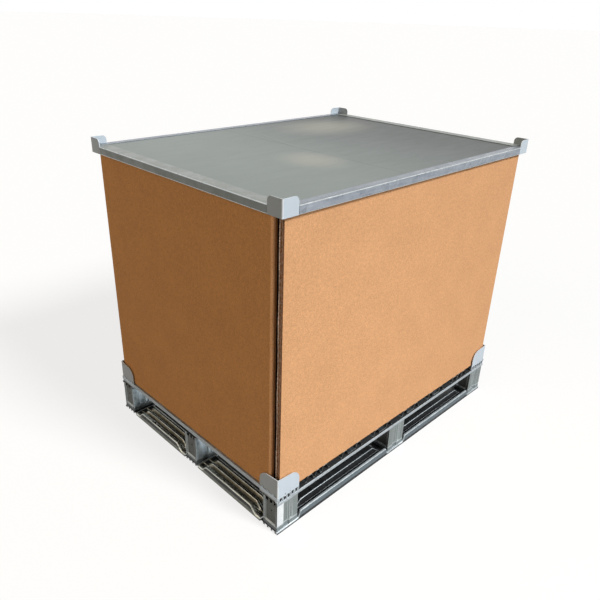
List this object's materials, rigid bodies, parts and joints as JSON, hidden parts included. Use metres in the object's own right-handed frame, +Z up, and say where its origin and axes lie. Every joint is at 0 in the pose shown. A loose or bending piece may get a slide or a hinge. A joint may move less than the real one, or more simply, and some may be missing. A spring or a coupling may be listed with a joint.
{
  "type": "collapsible returnable box",
  "caption": "Returnable pallet box: pressed steel pallet with fork pockets, heavy fibreboard sleeve that folds flat on crease hinges, lift-off sheet steel lid with raised stacking corners.",
  "frame": {"origin": "centre of the footprint on the floor", "axes": "+Z up, +X along the long side toward the right short wall, +Y along the short side toward the back wall; the front long wall with the sleeve's overlap joint is on -Y"},
  "size_m": [1.49, 1.13, 1.316],
  "materials": {
    "galvanised_steel": "satin",
    "galvanised_deck": "satin",
    "galvanised_block": "satin",
    "painted_corner_steel": "satin",
    "kraft_fibreboard": "matte",
    "kraft_crushed_flap": "matte",
    "lid_sheet_steel": "satin",
    "lid_rail_steel": "satin",
    "stiffener_steel": "satin"
  },
  "bodies": {
    "pallet": {"base_runner_front": "galvanised_steel", "base_runner_middle": "galvanised_steel", "base_runner_back": "galvanised_steel", "base_end_board_left_front": "galvanised_steel", "base_end_board_left_back": "galvanised_steel", "base_end_board_right_front": "galvanised_steel", "base_end_board_right_back": "galvanised_steel", "block_left_front": "galvanised_block", "block_left_middle": "galvanised_block", "block_left_back": "galvanised_block", "block_middle_front": "galvanised_block", "block_middle_middle": "galvanised_block", "block_middle_back": "galvanised_block", "block_right_front": "galvanised_block", "block_right_middle": "galvanised_block", "block_right_back": "galvanised_block", "top_rail_front": "galvanised_steel", "top_rail_middle": "galvanised_steel", "top_rail_back": "galvanised_steel", "top_end_rail_left_front": "galvanised_steel", "top_end_rail_left_back": "galvanised_steel", "top_end_rail_right_front": "galvanised_steel", "top_end_rail_right_back": "galvanised_steel", "deck_board_1": "galvanised_deck", "deck_board_2": "galvanised_deck", "deck_board_3": "galvanised_deck", "deck_board_4": "galvanised_deck", "deck_board_5": "galvanised_deck", "deck_board_6": "galvanised_deck", "deck_end_board_left": "galvanised_deck", "deck_end_board_right": "galvanised_deck", "pallet_corner_left_front": "painted_corner_steel", "pallet_corner_right_front": "painted_corner_steel", "pallet_corner_right_back": "painted_corner_steel", "pallet_corner_left_back": "painted_corner_steel"},
    "front_wall": {"wall_front": "kraft_fibreboard", "joint_flap": "kraft_crushed_flap"},
    "left_front_half": {"wall_left_front_half": "kraft_fibreboard"},
    "left_back_half": {"wall_left_back_half": "kraft_fibreboard"},
    "back_wall": {"wall_back": "kraft_fibreboard"},
    "right_back_half": {"wall_right_back_half": "kraft_fibreboard"},
    "right_front_half": {"wall_right_front_half": "kraft_fibreboard"},
    "lid": {"lid_rail_front": "lid_rail_steel", "lid_rail_back": "lid_rail_steel", "lid_rail_left": "lid_rail_steel", "lid_rail_right": "lid_rail_steel", "lid_border_front": "lid_rail_steel", "lid_border_back": "lid_rail_steel", "lid_border_left": "lid_rail_steel", "lid_border_right": "lid_rail_steel", "lid_sheet_left": "lid_sheet_steel", "lid_sheet_right": "lid_sheet_steel", "lid_stiffener_left": "stiffener_steel", "lid_stiffener_seam": "stiffener_steel", "lid_stiffener_right": "stiffener_steel", "lid_corner_left_front": "painted_corner_steel", "lid_corner_right_front": "painted_corner_steel", "lid_corner_right_back": "painted_corner_steel", "lid_corner_left_back": "painted_corner_steel"}
  },
  "joints": [
    {"name": "sleeve_lift", "type": "slide", "parent": "pallet", "child": "front_wall", "axis": [0, 0, 1], "range_m": [0, 0.25]},
    {"name": "lid_lift", "type": "slide", "parent": "front_wall", "child": "lid", "axis": [0, 0, 1], "range_m": [0, 0.25]},
    {"name": "left_front_crease", "type": "hinge", "parent": "front_wall", "child": "left_front_half", "pos_m": [-0.7066, -0.5226, 0.7282], "axis": [0, 0, -1], "range_deg": [0, 90]},
    {"name": "left_middle_crease", "type": "hinge", "parent": "left_front_half", "child": "left_back_half", "pos_m": [-0.7249, 0, 0.7282], "axis": [0, 0, 1], "range_deg": [0, 180]},
    {"name": "left_back_crease", "type": "hinge", "parent": "left_back_half", "child": "back_wall", "pos_m": [-0.7066, 0.5226, 0.7282], "axis": [0, 0, -1], "range_deg": [0, 90]},
    {"name": "right_back_crease", "type": "hinge", "parent": "back_wall", "child": "right_back_half", "pos_m": [0.7066, 0.5226, 0.7282], "axis": [0, 0, -1], "range_deg": [0, 90]},
    {"name": "right_front_crease", "type": "hinge", "parent": "front_wall", "child": "right_front_half", "pos_m": [0.7066, -0.5226, 0.7282], "axis": [0, 0, 1], "range_deg": [0, 90]}
  ],
  "couplings": [
    {"joint": "left_middle_crease", "follows": "left_front_crease", "ratio": 2},
    {"joint": "left_back_crease", "follows": "left_front_crease", "ratio": 1},
    {"joint": "right_back_crease", "follows": "left_front_crease", "ratio": 1},
    {"joint": "right_front_crease", "follows": "left_front_crease", "ratio": 1}
  ]
}
